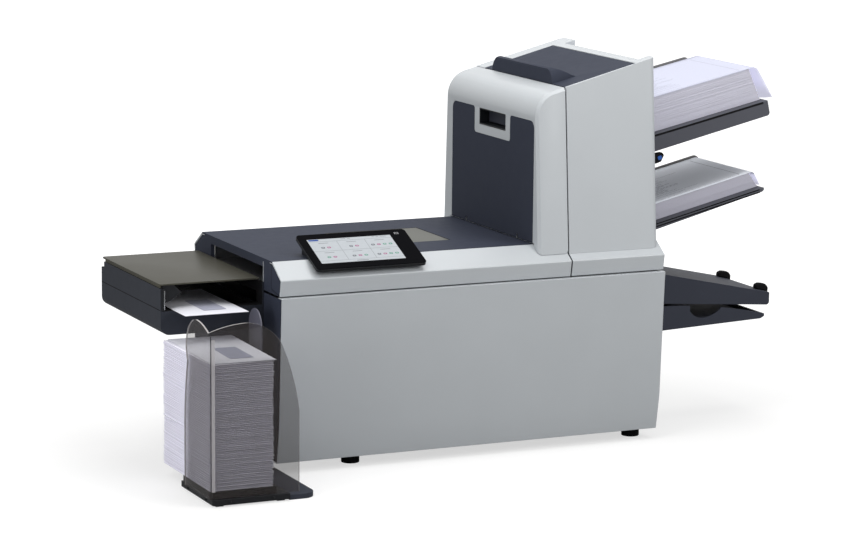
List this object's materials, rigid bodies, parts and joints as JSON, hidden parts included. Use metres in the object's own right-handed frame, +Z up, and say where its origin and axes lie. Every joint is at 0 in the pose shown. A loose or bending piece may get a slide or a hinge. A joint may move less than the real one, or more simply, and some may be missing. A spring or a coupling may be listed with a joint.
{
  "type": "folder inserter",
  "caption": "Table-top folder inserter: long cabinet with lifting cover and touch screen, sheet feeder tower, tilted trays, envelope lift table, side exit and envelope stacker.",
  "frame": {"origin": "on the desk, under the middle of the whole machine with its feeders and stacker", "axes": "+X from the exit side to the feeder side, +Y from the operator's side to the back, +Z up"},
  "size_m": [1.215, 0.577, 0.6885],
  "materials": {
    "light_grey_paint": "satin",
    "rear_grey_paint": "satin",
    "slate_paint": "fine matte texture",
    "slate_plastic": "fine matte texture",
    "black_plastic": "satin",
    "sheet_steel": "zinc plated",
    "smoked_acrylic": "smoked, polished",
    "screen_glass": "polished",
    "rubber": "matte",
    "roller_rubber": "matte on steel shafts",
    "dark_steel": "satin",
    "blue_plastic": "satin",
    "paper": "uncoated paper"
  },
  "bodies": {
    "machine": {"base_pan": "sheet_steel", "feet": "rubber", "front_panel": "light_grey_paint", "rear_panel": "rear_grey_paint", "left_side": "slate_paint", "right_side": "light_grey_paint", "frame_front": "sheet_steel", "frame_rear": "sheet_steel", "transport_deck": "sheet_steel", "fold_plates": "sheet_steel", "main_motor": "dark_steel", "power_supply": "sheet_steel", "power_inlet": "black_plastic", "cover_hinge": "sheet_steel", "tower_base_cover": "light_grey_paint", "tower_shell": "light_grey_paint", "tray_brackets": "black_plastic", "upper_tray": "slate_plastic", "lower_tray": "slate_plastic", "paper_stack_upper": "paper", "paper_stack_lower": "paper", "exit_shell": "black_plastic", "exit_envelope": "paper", "envelope_lower_tray": "slate_plastic"},
    "cover": {"cover_top": "slate_paint", "cover_front": "light_grey_paint", "cover_rear": "light_grey_paint", "end_cheek": "slate_paint", "window_pane": "smoked_acrylic", "press_frame": "sheet_steel", "screen_housing": "black_plastic", "screen_glass": "screen_glass", "door_hinge": "dark_steel"},
    "door": {"door_shell": "light_grey_paint", "door_panel": "slate_paint", "handle_cup": "black_plastic"},
    "latch": {"door_latch": "black_plastic"},
    "lid": {"tower_lid": "slate_paint"},
    "exit_cover": {"exit_lid": "smoked_acrylic", "exit_finger": "black_plastic"},
    "upper_separator": {"upper_lever": "blue_plastic"},
    "lower_separator": {"lower_lever": "blue_plastic"},
    "upper_side_guide": {"upper_guide": "slate_plastic"},
    "lower_side_guide": {"lower_guide": "slate_plastic"},
    "stacker": {"stacker_base": "black_plastic", "stacker_foot": "slate_plastic", "stacker_guide": "smoked_acrylic", "envelope_stack": "paper"},
    "envelope_lift": {"envelope_table": "slate_plastic", "envelope_stops": "rubber"},
    "rocker": {"power_switch": "black_plastic"},
    "roller_a": {"fold_roller_1": "roller_rubber"},
    "roller_b": {"fold_roller_2": "roller_rubber"},
    "roller_c": {"fold_roller_3": "roller_rubber"},
    "roller_transport": {"transport_rollers": "roller_rubber"},
    "roller_idler": {"idler_rollers": "roller_rubber"},
    "roller_exit": {"exit_rollers": "roller_rubber"},
    "roller_upper_feed": {"upper_feed_rollers": "roller_rubber"},
    "roller_lower_feed": {"lower_feed_rollers": "roller_rubber"}
  },
  "joints": [
    {"name": "cover_lift", "type": "hinge", "parent": "machine", "child": "cover", "pos_m": [-0.1435, 0.2755, 0.338], "axis": [-1, 0, 0], "range_deg": [0, 45]},
    {"name": "door_swing", "type": "hinge", "parent": "cover", "child": "door", "pos_m": [0.075, 0.0755, 0.3715], "axis": [0, -1, 0], "range_deg": [0, 60]},
    {"name": "latch_pull", "type": "hinge", "parent": "door", "child": "latch", "pos_m": [0.0925, 0.0755, 0.5765], "axis": [0, 1, 0], "range_deg": [0, 12], "stiffness_Nm_per_rad": 0.05, "springref_deg": -5.73},
    {"name": "lid_lift", "type": "hinge", "parent": "machine", "child": "lid", "pos_m": [0.26505, 0.0755, 0.67293], "axis": [0, 1, 0], "range_deg": [0, 75]},
    {"name": "exit_lid_lift", "type": "hinge", "parent": "machine", "child": "exit_cover", "pos_m": [-0.5155, 0.2475, 0.324], "axis": [-1, 0, 0], "range_deg": [0, 75]},
    {"name": "upper_separator_turn", "type": "hinge", "parent": "machine", "child": "upper_separator", "pos_m": [0.3165, -0.0415, 0.497], "axis": [0, 1, 0], "range_deg": [0, 25]},
    {"name": "lower_separator_turn", "type": "hinge", "parent": "machine", "child": "lower_separator", "pos_m": [0.3225, -0.0415, 0.346], "axis": [0, 1, 0], "range_deg": [0, 25]},
    {"name": "upper_guide_slide", "type": "slide", "parent": "machine", "child": "upper_side_guide", "axis": [0, 1, 0], "range_m": [0, 0.005]},
    {"name": "lower_guide_slide", "type": "slide", "parent": "machine", "child": "lower_side_guide", "axis": [0, 1, 0], "range_m": [0, 0.005]},
    {"name": "stacker_pull", "type": "slide", "parent": "machine", "child": "stacker", "axis": [0, -1, 0], "range_m": [0, 0.15]},
    {"name": "envelope_table_lift", "type": "hinge", "parent": "machine", "child": "envelope_lift", "pos_m": [0.3285, 0.074, 0.262], "axis": [0, -1, 0], "range_deg": [0, 15]},
    {"name": "power_rocker", "type": "hinge", "parent": "machine", "child": "rocker", "pos_m": [0.218, 0.2785, 0.0695], "axis": [-1, 0, 0], "range_deg": [0, 10]},
    {"name": "fold_roller_1_spin", "type": "hinge", "parent": "machine", "child": "roller_a", "pos_m": [0.1695, 0.0755, 0.318], "axis": [0, 1, 0], "continuous": true},
    {"name": "fold_roller_2_spin", "type": "hinge", "parent": "machine", "child": "roller_b", "pos_m": [0.1978, 0.0755, 0.318], "axis": [0, 1, 0], "continuous": true},
    {"name": "fold_roller_3_spin", "type": "hinge", "parent": "machine", "child": "roller_c", "pos_m": [0.1978, 0.0755, 0.2897], "axis": [0, 1, 0], "continuous": true},
    {"name": "transport_spin", "type": "hinge", "parent": "machine", "child": "roller_transport", "pos_m": [-0.2705, 0.0755, 0.292], "axis": [0, 1, 0], "continuous": true},
    {"name": "idler_spin", "type": "hinge", "parent": "cover", "child": "roller_idler", "pos_m": [-0.2705, 0.0755, 0.3172], "axis": [0, 1, 0], "continuous": true},
    {"name": "exit_spin", "type": "hinge", "parent": "machine", "child": "roller_exit", "pos_m": [-0.5155, -0.0035, 0.275], "axis": [1, 0, 0], "continuous": true},
    {"name": "upper_feed_spin", "type": "hinge", "parent": "machine", "child": "roller_upper_feed", "pos_m": [0.27182, 0.0755, 0.60928], "axis": [0, 1, 0], "continuous": true},
    {"name": "lower_feed_spin", "type": "hinge", "parent": "machine", "child": "roller_lower_feed", "pos_m": [0.27816, 0.0755, 0.41429], "axis": [0, 1, 0], "continuous": true}
  ],
  "couplings": [
    {"joint": "fold_roller_2_spin", "follows": "fold_roller_1_spin", "ratio": -1},
    {"joint": "fold_roller_3_spin", "follows": "fold_roller_1_spin", "ratio": 1},
    {"joint": "transport_spin", "follows": "fold_roller_1_spin", "ratio": 0.93333},
    {"joint": "idler_spin", "follows": "fold_roller_1_spin", "ratio": -1.4}
  ]
}
